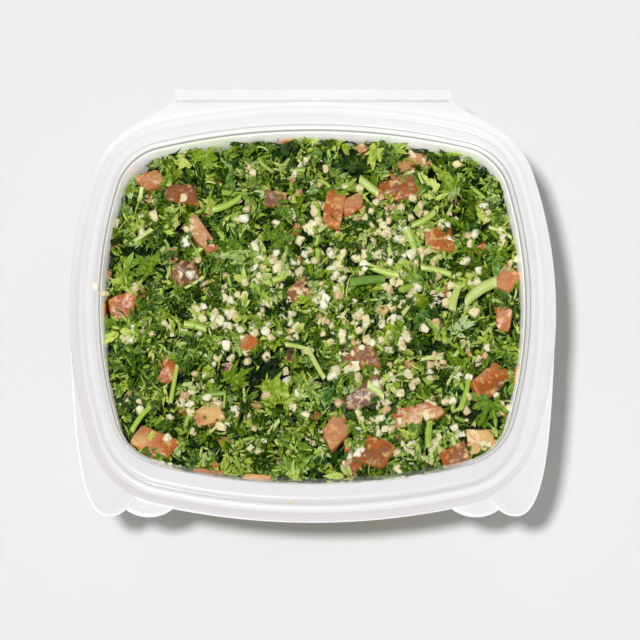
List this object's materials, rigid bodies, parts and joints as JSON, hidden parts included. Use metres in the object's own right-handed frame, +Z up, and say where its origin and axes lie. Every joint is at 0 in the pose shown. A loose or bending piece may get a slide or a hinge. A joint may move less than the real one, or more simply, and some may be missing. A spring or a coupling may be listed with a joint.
{
  "type": "tabbouleh salad in a hinged clear tub",
  "caption": "Chopped parsley, cracked wheat and tomato salad filling a clear tapered tub, shut under a clear lid that swings up on a rear fold.",
  "frame": {"origin": "on the surface it stands on, under the middle of its bounding box", "axes": "+X to the right along the tub's width, +Y towards the hinge, +Z up"},
  "size_m": [0.137, 0.1258, 0.0489],
  "materials": {
    "clear_plastic": "thin clear formed sheet, glossy, faintly milky at the rim",
    "parsley": "fresh chopped leaf, satin, slightly moist",
    "stem": "cut green stalk, satin",
    "wheat": "soaked cracked wheat, soft and slightly translucent",
    "tomato": "wet diced flesh and skin, translucent"
  },
  "bodies": {
    "base": {"tray": "clear_plastic", "salad": "parsley"},
    "cover": {"lid": "clear_plastic"}
  },
  "joints": [
    {"name": "lid_hinge", "type": "hinge", "parent": "base", "child": "cover", "pos_m": [0, 0.06215, 0.045], "axis": [-1, 0, 0], "range_deg": [0, 180]}
  ]
}
